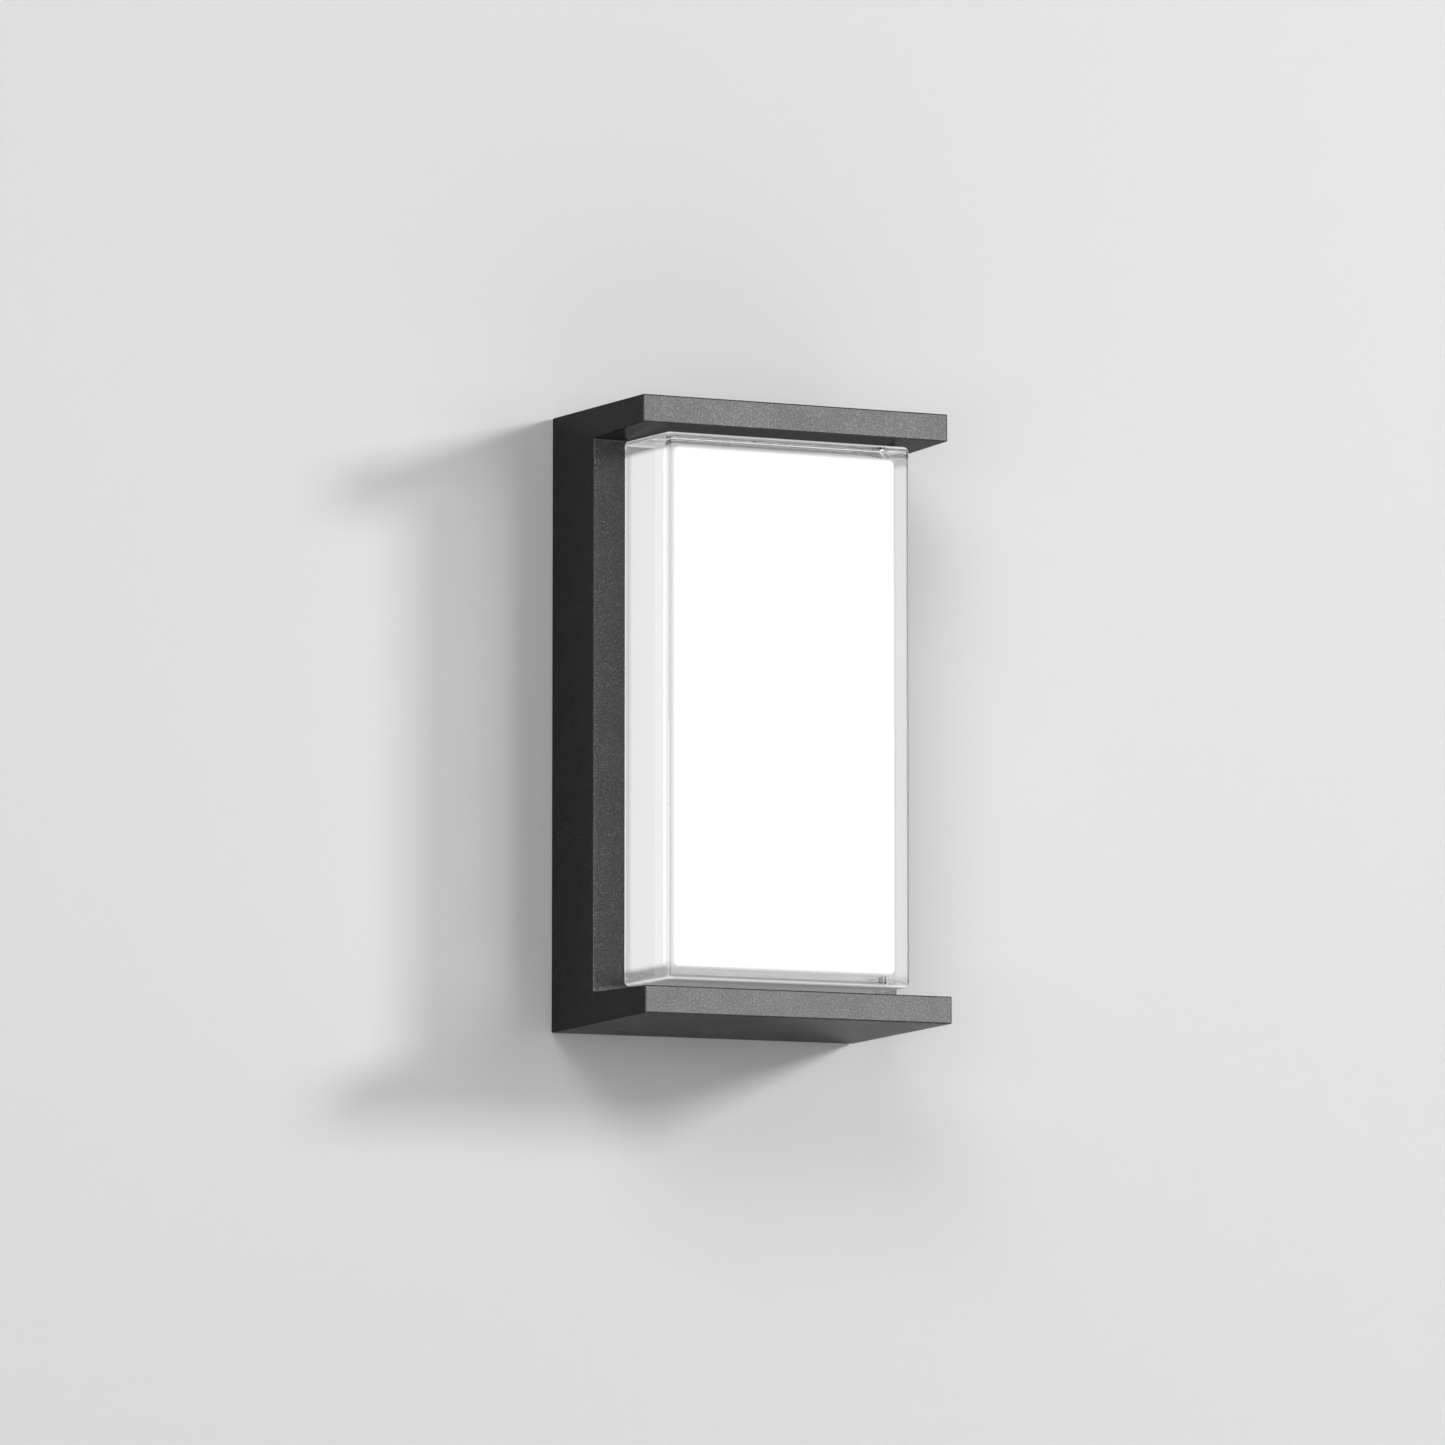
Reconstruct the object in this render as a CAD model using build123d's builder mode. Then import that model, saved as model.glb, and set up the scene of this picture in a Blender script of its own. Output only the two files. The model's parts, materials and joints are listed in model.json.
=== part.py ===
# Outdoor wall lantern: a C-shaped cast frame holds a hollow glass block between its two arms.
# The frame slips over a wall plate and locks there with two set screws in its top wall.
# Millimetres. The wall is the plane y = 0, +Z is up and the front of the lantern looks along -Y.
# A depth is measured from the wall towards the front, so a point at depth d has y = -d.
import math
import os

from build123d import *

# Frame casting
frame_width = 150.0
wall_end_height = 277.4
spine_depth = 46.0
top_arm_reach = 98.6
bottom_arm_extra = 2.8
arm_root_thickness = 14.13
outer_draft = 1.05
inner_draft = 0.96
shell_wall = 3.5
arm_nose_wall = 4.0
arm_rib = 3.0
pockets_per_arm = 3
rim_gap = 0.8
edge_radius = 0.6
cavity_corner = 3.0

# Glass block and its liner
glass_inset = 15.06
glass_setback = 7.5
glass_top_gap = 0.2
glass_bottom_gap = 3.1
glass_side_gap = 0.8
glass_draft = 1.5
glass_wall = 5.4
glass_edge_radius = 2.4
glass_rear_radius = 0.5
glass_seat_gap = 0.1
glass_neck_step = 2.4
collar_overlap = 5.2
collar_thickness = 3.8
collar_bond = 0.2
front_seal_thickness = 0.7
rear_cushion_thickness = 0.8
liner_gap = 0.15
liner_wall = 1.2
liner_edge_radius = 3.0

# Wall plate
plate_sheet = 3.0
plate_rim_wall = 2.5
plate_gap = 1.2
seal_gap = 0.3
seal_depth = 4.0
fixing_spacing = 60.0
fixing_hole_radius = 2.5
grommet_x = 20.0
grommet_bore = 4.6
grommet_wall = 1.4
grommet_lip = 2.2
grommet_sleeve = 10.8
grommet_lip_sheet = 1.5

# Set screws through the top wall
screw_x = 45.0
screw_radius = 2.5
screw_thread_gap = 0.1
screw_sink = 0.45
screw_tip_gap = 0.2
screw_boss_wall = 3.4
screw_boss_gap = 0.3
screw_boss_margin = 0.7
hex_across_flats = 2.5
hex_depth = 2.4

# Gear tray
tray_sheet = 2.0
tray_gap = 1.0
tray_boss_radius = 3.3
tray_boss_end_margin = 29.0

# Light source
board_sheet = 1.6
board_margin = 5.0
led_columns = 3
led_rows = 9
led_width = 3.0
led_length = 2.8
led_height = 0.8
connector_width = 9.0
connector_length = 8.0
connector_height = 5.2

# Driver
driver_width = 44.0
driver_length = 84.0
driver_depth = 20.7
driver_lid_sheet = 1.5
driver_ear_length = 8.0
driver_ear_width = 9.0
driver_ear_x = -14.0

# Terminal block, its buttons and the plug that mates with it
pole_spacing = 13.0
terminal_length = 26.0
terminal_depth = 16.0
terminal_wall = 2.0
terminal_ear = 7.0
ear_sheet = 3.0
base_sheet = 1.2
channel_width = 6.0
channel_depth = 6.8
entry_radius = 2.2
button_side = 5.0
button_gap = 0.2
button_stand_out = 2.0
button_travel = 1.5
button_stop_gap = 0.3
button_inset = 6.0
button_slot_length = 2.5
button_slot_width = 0.8
button_slot_depth = 0.7
contact_bore = 1.5
contact_wall = 0.8
contact_gap = 0.1
contact_strip = 1.0
socket_inset = 6.0
pin_radius = 1.2
pin_engagement = 9.0
pin_gap = 0.05
plug_length = 12.0
plug_face_gap = 1.0

# Leads, studs and small screws
lead_radius = 1.0
lead_bend = 5.0
lead_stand_off = 2.6
lead_slack = 7.5
mains_lead_run = 68.0
plate_earth_run = 10.0
led_lead_x = 10.0
led_lead_spacing = 2.8
led_lead_rise = 17.0
lead_hole_margin = 18.66
lead_hole_radius = 3.4
lead_grommet_wall = 1.2
lead_grommet_lip = 1.0
stud_radius = 2.0
stud_length = 9.0
nut_thickness = 3.0
nut_across_flats = 7.0
tag_sheet = 0.8
tag_radius = 5.0
tag_barrel_length = 8.0
tag_barrel_radius = 1.8
small_screw_radius = 1.5
small_head_radius = 2.7
small_head_height = 1.8
small_screw_gap = 0.15
small_chamfer = 0.4
blind_gap = 0.3
blind_floor = 1.0


def outer_half(depth):
    """Half of the frame's height at a depth: its top and bottom faces close in towards the front."""
    return wall_end_height / 2 - math.tan(math.radians(outer_draft)) * depth


def mouth_half(depth):
    """Half of the clear height between the arms at a depth: the arms grow thinner towards their tips."""
    root_half = outer_half(spine_depth) - arm_root_thickness
    return root_half + math.tan(math.radians(inner_draft)) * (depth - spine_depth)


def glass_top(depth):
    """Top of the glass at a depth: it falls towards the front, while the bottom is level."""
    root_top = mouth_half(spine_depth) - glass_top_gap
    return root_top - math.tan(math.radians(glass_draft)) * (depth - spine_depth)


# Sizes that follow from the ones above
bottom_arm_reach = top_arm_reach + bottom_arm_extra
mouth_root = mouth_half(spine_depth)
front_wall_back = spine_depth - shell_wall
cavity_half_width = frame_width / 2 - shell_wall
cavity_half_height = outer_half(front_wall_back) - shell_wall

glass_half_width = frame_width / 2 - glass_inset
glass_bottom = glass_bottom_gap - mouth_root
glass_middle = (glass_top(spine_depth) + glass_bottom) / 2
glass_half_height = (glass_top(spine_depth) - glass_bottom) / 2
glass_front = top_arm_reach - glass_setback
glass_rear = spine_depth + glass_seat_gap
neck_half_width = glass_half_width - glass_neck_step
neck_half_height = glass_half_height - glass_neck_step
opening_half_width = neck_half_width + glass_side_gap
opening_half_height = neck_half_height + glass_side_gap
opening_corner = glass_edge_radius + glass_side_gap
collar_front = front_wall_back - front_seal_thickness
collar_back = collar_front - collar_thickness
collar_half_width = opening_half_width + collar_overlap
collar_half_height = opening_half_height + collar_overlap
collar_corner = opening_corner + collar_overlap
tray_front = collar_back - rear_cushion_thickness
tray_back = tray_front - tray_sheet
liner_inset = glass_wall + liner_gap
liner_hollow_inset = liner_inset + liner_wall

plate_half_width = cavity_half_width - plate_gap
plate_half_height = cavity_half_height - plate_gap
plate_corner = cavity_corner - plate_gap
screw_boss_radius = screw_radius + screw_boss_wall
screw_depth = rim_gap + seal_depth + screw_boss_margin + screw_boss_radius
plate_rim_depth = screw_depth + screw_boss_radius + screw_boss_margin
grommet_hole = grommet_bore + grommet_wall
grommet_lip_radius = grommet_hole + grommet_lip

tray_half_width = cavity_half_width - tray_gap
tray_half_height = cavity_half_height - tray_gap
tray_boss_x = cavity_half_width - tray_boss_radius
tray_boss_z = cavity_half_height - tray_boss_end_margin
tray_boss_places = [(side * tray_boss_x, z) for side in (-1, 1) for z in (-tray_boss_z, 0, tray_boss_z)]

lead_hole_z = glass_top(spine_depth) - liner_hollow_inset - lead_hole_margin
board_half_width = glass_half_width - liner_hollow_inset - board_margin
board_bottom = glass_bottom + liner_hollow_inset + board_margin
board_top = lead_hole_z - led_lead_rise
board_front = tray_front + board_sheet
connector_lead_depth = board_front + connector_height / 2

driver_top = board_top
driver_bottom = driver_top - driver_length
driver_back = tray_back - driver_depth
lead_depth = tray_back - lead_stand_off

terminal_half_width = pole_spacing + channel_width / 2 + terminal_wall
ear_screw_x = (-terminal_half_width - terminal_ear / 2, terminal_half_width + terminal_ear / 2)
plug_top = driver_bottom - mains_lead_run
plug_bottom = plug_top - plug_length
terminal_bottom = plug_bottom
terminal_top = terminal_bottom + terminal_length
terminal_back = plate_sheet + base_sheet
terminal_front = terminal_back + terminal_depth
button_z = terminal_top - button_inset
socket_z = terminal_bottom + socket_inset
entry_depth = terminal_back + channel_depth / 2
plug_back = terminal_front + plug_face_gap
poles = {"live": -pole_spacing, "earth": 0, "neutral": pole_spacing}

tray_stud_z = (plug_top + driver_bottom) / 2
tag_reach = tag_radius + tag_barrel_length
plate_stud_z = terminal_top + plate_earth_run + tag_reach
grommet_z = plate_stud_z


def tapered_block(inset, rear, front, radius):
    """A block set in from the glass's outside, with every edge rounded except those of its rear face."""
    with BuildPart() as block:
        with BuildSketch(Plane.YZ):
            with BuildLine():
                Polyline(
                    (-rear, glass_bottom + inset),
                    (-rear, glass_top(rear) - inset),
                    (-front, glass_top(front) - inset),
                    (-front, glass_bottom + inset),
                    close=True,
                )
            make_face()
        extrude(amount=glass_half_width - inset, both=True)
        rear_edges = block.faces().sort_by(Axis.Y)[-1].edges()
        fillet(block.edges() - rear_edges, radius)
    return block.part


def ring(
    middle, half_width, half_height, corner, hole_half_width, hole_half_height, hole_corner, rear, front
):
    """A flat rectangular ring with rounded corners round a middle height, between two depths."""
    with BuildPart() as flat:
        with BuildSketch(Plane.XZ.offset(rear)):
            with Locations((0, middle)):
                RectangleRounded(2 * half_width, 2 * half_height, corner)
                RectangleRounded(2 * hole_half_width, 2 * hole_half_height, hole_corner, mode=Mode.SUBTRACT)
        extrude(amount=front - rear)
    return flat.part


def pan_head_screws(places, seat, shank_end):
    """Screws along Y: the heads sit at one depth and the shanks run from there to another depth."""
    away = math.copysign(1, seat - shank_end)
    with BuildPart() as screws:
        with BuildSketch(Plane.XZ.offset(seat)):
            with Locations(*places):
                Circle(small_head_radius)
        extrude(amount=away * small_head_height)
        with BuildSketch(Plane.XZ.offset(seat)):
            with Locations(*places):
                Circle(small_screw_radius)
        extrude(amount=-away * abs(seat - shank_end))
    return screws.part


def lead(points):
    """An insulated lead along straight runs joined by tangent arcs; points are (x, depth, z)."""
    route_points = [(x, -depth, z) for x, depth, z in points]
    with BuildPart() as wire:
        with BuildLine() as route:
            if len(route_points) > 2:
                FilletPolyline(*route_points, radius=lead_bend)
            else:
                Line(*route_points)
        with BuildSketch(Plane(origin=route.line @ 0, z_dir=route.line % 0)):
            Circle(lead_radius)
        sweep()
    return wire.part


def stud(z, seat, way):
    """A welded earth stud on a face at a depth; way is 1 towards the front and -1 towards the wall."""
    with BuildPart() as bolt:
        with BuildSketch(Plane.XZ.offset(seat)):
            with Locations((0, z)):
                Circle(stud_radius)
        extrude(amount=way * stud_length)
        chamfer(bolt.faces().sort_by(Axis.Y)[0 if way > 0 else -1].edges(), small_chamfer)
    return bolt.part


def stud_nut(z, seat, way):
    """The hexagon nut that holds the ring tag on its stud."""
    with BuildPart() as nut:
        with BuildSketch(Plane.XZ.offset(seat + way * tag_sheet)):
            with Locations((0, z)):
                RegularPolygon(nut_across_flats / math.sqrt(3), 6)
                Circle(stud_radius + small_screw_gap, mode=Mode.SUBTRACT)
        extrude(amount=way * nut_thickness)
    return nut.part


def ring_tag(z, seat, way):
    """A crimped ring tag round a stud: a flat ring with a barrel below it that stands off the face."""
    barrel_top = z - tag_radius
    with BuildPart() as tag:
        with BuildSketch(Plane.XZ.offset(seat)):
            with Locations((0, z)):
                Circle(tag_radius)
            with Locations((0, barrel_top)):
                Rectangle(2 * tag_barrel_radius, 2 * tag_barrel_radius)
            with Locations((0, z)):
                Circle(stud_radius + small_screw_gap, mode=Mode.SUBTRACT)
        extrude(amount=way * tag_sheet)
        with BuildSketch(Plane.XY.offset(barrel_top)):
            with Locations((0, -(seat + way * lead_stand_off))):
                Circle(tag_barrel_radius)
            with Locations((0, -(seat + way * lead_stand_off / 2))):
                Rectangle(2 * tag_barrel_radius, lead_stand_off)
        extrude(amount=-tag_barrel_length)
    return tag.part


# Frame casting: the C profile, then the cavity that is open to the wall and cored into both arms
with BuildPart() as frame_casting:
    with BuildSketch(Plane.YZ):
        with BuildLine():
            Polyline(
                (-rim_gap, outer_half(rim_gap)),
                (-top_arm_reach, outer_half(top_arm_reach)),
                (-top_arm_reach, mouth_half(top_arm_reach)),
                (-spine_depth, mouth_root),
                (-spine_depth, -mouth_root),
                (-bottom_arm_reach, -mouth_half(bottom_arm_reach)),
                (-bottom_arm_reach, -outer_half(bottom_arm_reach)),
                (-rim_gap, -outer_half(rim_gap)),
                close=True,
            )
        make_face()
    extrude(amount=frame_width / 2, both=True)
    fillet(frame_casting.edges(), edge_radius)

    with BuildSketch(Plane.XZ.offset(rim_gap)):
        RectangleRounded(2 * cavity_half_width, 2 * cavity_half_height, cavity_corner)
    extrude(amount=front_wall_back - rim_gap, mode=Mode.SUBTRACT)

    pocket_width = (2 * cavity_half_width - (pockets_per_arm - 1) * arm_rib) / pockets_per_arm
    pocket_start = front_wall_back - shell_wall / 2
    pocket_root = mouth_half(front_wall_back) + shell_wall
    for way, reach in ((1, top_arm_reach), (-1, bottom_arm_reach)):
        pocket_end = reach - arm_nose_wall
        for index in range(pockets_per_arm):
            pocket_side = index * (pocket_width + arm_rib) - cavity_half_width
            with BuildSketch(Plane.YZ.offset(pocket_side)):
                with BuildLine():
                    Polyline(
                        (-pocket_start, way * pocket_root),
                        (-pocket_start, way * cavity_half_height),
                        (-front_wall_back, way * cavity_half_height),
                        (-pocket_end, way * (outer_half(pocket_end) - shell_wall)),
                        (-pocket_end, way * (mouth_half(pocket_end) + shell_wall)),
                        (-front_wall_back, way * pocket_root),
                        close=True,
                    )
                make_face()
            extrude(amount=pocket_width, mode=Mode.SUBTRACT)

    with BuildSketch(Plane.XZ.offset(front_wall_back - shell_wall / 2)):
        with Locations((0, glass_middle)):
            RectangleRounded(2 * opening_half_width, 2 * opening_half_height, opening_corner)
    extrude(amount=2 * shell_wall, mode=Mode.SUBTRACT)

    with BuildSketch(Plane.XZ.offset(tray_front)):
        with Locations(*tray_boss_places):
            Circle(tray_boss_radius)
        for boss_x, boss_z in tray_boss_places:
            with Locations((boss_x + math.copysign(tray_boss_radius, boss_x), boss_z)):
                Rectangle(2 * tray_boss_radius, 2 * tray_boss_radius)
    extrude(amount=front_wall_back - tray_front + shell_wall / 2)
    with BuildSketch(Plane.XZ.offset(tray_front)):
        with Locations(*tray_boss_places):
            Circle(small_screw_radius + small_screw_gap)
    extrude(amount=front_wall_back - tray_front, mode=Mode.SUBTRACT)

    screw_places = [(-screw_x, -screw_depth), (screw_x, -screw_depth)]
    with BuildSketch(Plane.XY.offset(plate_half_height + screw_boss_gap)):
        with Locations(*screw_places):
            Circle(screw_boss_radius)
    extrude(amount=plate_gap - screw_boss_gap + shell_wall / 2)
    with BuildSketch(Plane.XY.offset(plate_half_height)):
        with Locations(*screw_places):
            Circle(screw_radius + screw_thread_gap)
    extrude(amount=outer_half(0) - plate_half_height, mode=Mode.SUBTRACT)

# Glass block: a thick-walled cup in front of the spine, with a neck that goes through the spine's front wall
glass_outside = tapered_block(0, glass_rear, glass_front, glass_edge_radius)
glass_inside = tapered_block(
    glass_wall,
    collar_back - glass_wall,
    glass_front - glass_wall,
    liner_edge_radius + liner_gap,
)
with BuildPart() as glass_block:
    add(glass_outside)
    fillet(glass_block.faces().sort_by(Axis.Y)[-1].edges(), glass_rear_radius)
    with BuildSketch(Plane.XZ.offset(collar_back)):
        with Locations((0, glass_middle)):
            RectangleRounded(2 * neck_half_width, 2 * neck_half_height, glass_edge_radius)
    extrude(amount=glass_rear + glass_wall - collar_back)
    add(glass_inside, mode=Mode.SUBTRACT)

# Collar bonded round the neck of the glass and clamped behind the spine's front wall
glass_collar = ring(
    glass_middle,
    collar_half_width,
    collar_half_height,
    collar_corner,
    neck_half_width + collar_bond,
    neck_half_height + collar_bond,
    glass_edge_radius + collar_bond,
    collar_back,
    collar_front,
)

# Opal liner: a thin white cup that follows the inside of the glass and stands on the tray
liner_outside = tapered_block(
    liner_inset,
    tray_front,
    glass_front - liner_inset,
    liner_edge_radius,
)
liner_inside = tapered_block(
    liner_hollow_inset,
    tray_front - liner_wall,
    glass_front - liner_hollow_inset,
    liner_edge_radius - liner_wall,
)
with BuildPart() as opal_liner:
    add(liner_outside)
    add(liner_inside, mode=Mode.SUBTRACT)

# Seals on both faces of the collar
front_seal = ring(
    glass_middle,
    collar_half_width,
    collar_half_height,
    collar_corner,
    opening_half_width,
    opening_half_height,
    opening_corner,
    collar_front,
    front_wall_back,
)
rear_cushion = ring(
    glass_middle,
    collar_half_width,
    collar_half_height,
    collar_corner,
    glass_half_width - glass_wall + glass_side_gap,
    glass_half_height - glass_wall + glass_side_gap,
    liner_edge_radius + glass_side_gap,
    tray_front,
    collar_back,
)

# Gear tray: a flat sheet behind the collar, screwed to the casting's bosses
board_screw_places = [
    (side * (board_half_width - 2 * small_head_radius), z)
    for side in (-1, 1)
    for z in (board_bottom + 2 * small_head_radius, board_top - 2 * small_head_radius)
]
driver_screw_places = [
    (driver_ear_x, driver_top + driver_ear_length / 2),
    (-driver_ear_x, driver_bottom - driver_ear_length / 2),
]
plug_middle = (plug_top + plug_bottom) / 2
plug_screw_places = [(x, plug_middle) for x in ear_screw_x]
with BuildPart() as gear_tray:
    with BuildSketch(Plane.XZ.offset(tray_back)):
        RectangleRounded(2 * tray_half_width, 2 * tray_half_height, cavity_corner - tray_gap)
        with Locations(*tray_boss_places, *board_screw_places, *driver_screw_places, *plug_screw_places):
            Circle(small_screw_radius + small_screw_gap, mode=Mode.SUBTRACT)
        with Locations((led_lead_x, lead_hole_z)):
            Circle(lead_hole_radius + lead_grommet_wall, mode=Mode.SUBTRACT)
    extrude(amount=tray_sheet)
tray_screws = pan_head_screws(tray_boss_places, tray_back, front_wall_back - blind_gap)

# Grommet where the LED leads pass through the tray
with BuildPart() as tray_grommet:
    with BuildSketch(Plane.XZ.offset(tray_back - lead_grommet_lip)):
        with Locations((led_lead_x, lead_hole_z)):
            Circle(lead_hole_radius + lead_grommet_wall + lead_grommet_lip)
    extrude(amount=lead_grommet_lip)
    with BuildSketch(Plane.XZ.offset(tray_back)):
        with Locations((led_lead_x, lead_hole_z)):
            Circle(lead_hole_radius + lead_grommet_wall)
    extrude(amount=tray_sheet)
    with BuildSketch(Plane.XZ.offset(tray_front)):
        with Locations((led_lead_x, lead_hole_z)):
            Circle(lead_hole_radius + lead_grommet_wall + lead_grommet_lip)
    extrude(amount=lead_grommet_lip)
    with BuildSketch(Plane.XZ.offset(tray_back - lead_grommet_lip)):
        with Locations((led_lead_x, lead_hole_z)):
            Circle(lead_hole_radius)
    extrude(amount=tray_sheet + 2 * lead_grommet_lip, mode=Mode.SUBTRACT)

# LED board with its chips, connector and screws
board_centre_z = (board_top + board_bottom) / 2
with BuildPart() as led_board:
    with BuildSketch(Plane.XZ.offset(tray_front)):
        with Locations((0, board_centre_z)):
            RectangleRounded(2 * board_half_width, board_top - board_bottom, small_head_radius)
        with Locations(*board_screw_places):
            Circle(small_screw_radius + small_screw_gap, mode=Mode.SUBTRACT)
    extrude(amount=board_sheet)
led_pitch_x = 2 * board_half_width / led_columns
led_span_z = board_top - board_bottom - connector_length - 2 * board_margin
with BuildPart() as led_chips:
    with BuildSketch(Plane.XZ.offset(board_front)):
        with Locations((0, board_centre_z - connector_length / 2)):
            with GridLocations(led_pitch_x, led_span_z / led_rows, led_columns, led_rows):
                Rectangle(led_width, led_length)
    extrude(amount=led_height)
with BuildPart() as led_connector:
    with BuildSketch(Plane.XZ.offset(board_front)):
        with Locations((led_lead_x, board_top - connector_length / 2)):
            Rectangle(connector_width, connector_length)
    extrude(amount=connector_height)
    fillet(led_connector.edges().filter_by(Axis.Z), edge_radius)
board_screws = pan_head_screws(board_screw_places, board_front, tray_back)

# Driver: a potted case on the rear of the tray, with a lid towards the wall and two fixing ears
with BuildPart() as driver_case:
    with BuildSketch(Plane.XZ.offset(driver_back + driver_lid_sheet)):
        with Locations((0, (driver_top + driver_bottom) / 2)):
            Rectangle(driver_width, driver_length)
    extrude(amount=driver_depth - driver_lid_sheet)
    fillet(driver_case.edges().filter_by(Axis.Y), cavity_corner)
    with BuildSketch(Plane.XZ.offset(tray_back - ear_sheet)):
        with Locations((driver_ear_x, driver_top), (-driver_ear_x, driver_bottom)):
            Rectangle(driver_ear_width, 2 * driver_ear_length)
    extrude(amount=ear_sheet)
    with BuildSketch(Plane.XZ.offset(tray_back - ear_sheet)):
        with Locations(*driver_screw_places):
            Circle(small_screw_radius + small_screw_gap)
    extrude(amount=ear_sheet, mode=Mode.SUBTRACT)
with BuildPart() as driver_lid:
    with BuildSketch(Plane.XZ.offset(driver_back)):
        with Locations((0, (driver_top + driver_bottom) / 2)):
            RectangleRounded(driver_width, driver_length, cavity_corner)
    extrude(amount=driver_lid_sheet)
    chamfer(driver_lid.faces().sort_by(Axis.Y)[-1].edges(), small_chamfer)
driver_screws = pan_head_screws(driver_screw_places, tray_back - ear_sheet, tray_front - blind_gap)

# Plug block: hangs on the rear of the tray and carries three pins towards the wall
with BuildPart() as plug_block:
    with BuildSketch(Plane.XZ.offset(plug_back)):
        with Locations((0, plug_middle)):
            Rectangle(2 * terminal_half_width, plug_length)
    extrude(amount=tray_back - plug_back)
    fillet(plug_block.edges().filter_by(Axis.Y), edge_radius)
    with BuildSketch(Plane.XZ.offset(tray_back - ear_sheet)):
        with Locations((0, plug_middle)):
            Rectangle(2 * (terminal_half_width + terminal_ear), plug_length)
        with Locations(*plug_screw_places):
            Circle(small_screw_radius + small_screw_gap, mode=Mode.SUBTRACT)
    extrude(amount=ear_sheet)
    with BuildSketch(Plane.XZ.offset(plug_back)):
        with Locations(*[(x, socket_z) for x in poles.values()]):
            Circle(pin_radius + pin_gap)
    extrude(amount=(tray_back - plug_back) / 2 + pin_gap, mode=Mode.SUBTRACT)
with BuildPart() as plug_pins:
    with BuildSketch(Plane.XZ.offset(plug_back - plug_face_gap - pin_engagement)):
        with Locations(*[(x, socket_z) for x in poles.values()]):
            Circle(pin_radius)
    extrude(amount=pin_engagement + plug_face_gap + (tray_back - plug_back) / 2)
    pin_tips = plug_pins.faces().sort_by(Axis.Y)[-len(poles) :]
    chamfer(pin_tips.edges(), small_chamfer)
plug_screws = pan_head_screws(plug_screw_places, tray_back - ear_sheet, tray_front - blind_gap)

# Leads on the tray: mains to the driver, earth to the tray and the two LED leads to the board
live_lead = lead(
    [
        (poles["live"], lead_depth, plug_top),
        (poles["live"], lead_depth, plug_top + mains_lead_run / 4),
        (poles["live"] - lead_slack, lead_depth, plug_top + mains_lead_run / 2),
        (poles["live"] + lead_slack / 2, lead_depth, driver_bottom - mains_lead_run / 6),
        (poles["live"] + lead_slack / 2, lead_depth, driver_bottom),
    ]
)
neutral_lead = lead(
    [
        (poles["neutral"], lead_depth, plug_top),
        (poles["neutral"], lead_depth, plug_top + mains_lead_run / 4),
        (poles["neutral"] + lead_slack, lead_depth, plug_top + mains_lead_run / 2),
        (poles["neutral"] - lead_slack, lead_depth, driver_bottom - mains_lead_run / 6),
        (poles["neutral"] - lead_slack, lead_depth, driver_bottom),
    ]
)
earth_lead = lead([(0, lead_depth, plug_top), (0, lead_depth, tray_stud_z - tag_reach)])
tray_earth_stud = stud(tray_stud_z, tray_back, -1)
tray_earth_tag = ring_tag(tray_stud_z, tray_back, -1)
tray_earth_nut = stud_nut(tray_stud_z, tray_back, -1)
led_leads = {}
for name, way in (("led_lead_positive", -1), ("led_lead_negative", 1)):
    lead_x = led_lead_x + way * led_lead_spacing / 2
    led_leads[name] = lead(
        [
            (lead_x, tray_back - driver_depth / 2, driver_top),
            (lead_x, tray_back - driver_depth / 2, lead_hole_z),
            (lead_x, connector_lead_depth, lead_hole_z),
            (lead_x, connector_lead_depth, board_top),
        ]
    )

# Wall plate: a flat sheet on the wall, and the rim on it that the casting slips over
terminal_middle = (terminal_top + terminal_bottom) / 2
terminal_screw_places = [(x, terminal_middle) for x in ear_screw_x]
with BuildPart() as wall_plate:
    with BuildSketch(Plane.XZ):
        RectangleRounded(2 * plate_half_width, 2 * plate_half_height, plate_corner)
        with Locations((-fixing_spacing / 2, 0), (fixing_spacing / 2, 0)):
            Circle(fixing_hole_radius, mode=Mode.SUBTRACT)
        with Locations((-grommet_x, grommet_z), (grommet_x, grommet_z)):
            Circle(grommet_hole, mode=Mode.SUBTRACT)
    extrude(amount=plate_sheet)
    with BuildSketch(Plane.XZ.offset(blind_floor)):
        with Locations(*terminal_screw_places):
            Circle(small_screw_radius + small_screw_gap)
    extrude(amount=plate_sheet, mode=Mode.SUBTRACT)
plate_rim = ring(
    0,
    plate_half_width,
    plate_half_height,
    plate_corner,
    plate_half_width - plate_rim_wall,
    plate_half_height - plate_rim_wall,
    plate_corner,
    plate_sheet,
    plate_rim_depth,
)

# Seal round the plate and its rim
perimeter_seal = ring(
    0,
    cavity_half_width - seal_gap,
    cavity_half_height - seal_gap,
    cavity_corner - seal_gap,
    plate_half_width,
    plate_half_height,
    plate_corner,
    rim_gap,
    rim_gap + seal_depth,
)

# Cable grommets: sleeves through the plate with a lip on its front face
grommets = {}
for name, grommet_side in (("cable_grommet_left", -1), ("cable_grommet_right", 1)):
    with BuildPart() as grommet:
        with BuildSketch(Plane.XZ):
            with Locations((grommet_side * grommet_x, grommet_z)):
                Circle(grommet_hole)
        extrude(amount=grommet_sleeve)
        chamfer(grommet.faces().sort_by(Axis.Y)[0].edges(), small_chamfer)
        with BuildSketch(Plane.XZ.offset(plate_sheet)):
            with Locations((grommet_side * grommet_x, grommet_z)):
                Circle(grommet_lip_radius)
        extrude(amount=grommet_lip_sheet)
        with BuildSketch(Plane.XZ):
            with Locations((grommet_side * grommet_x, grommet_z)):
                Circle(grommet_bore)
        extrude(amount=grommet_sleeve, mode=Mode.SUBTRACT)
    grommets[name] = grommet.part

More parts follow.
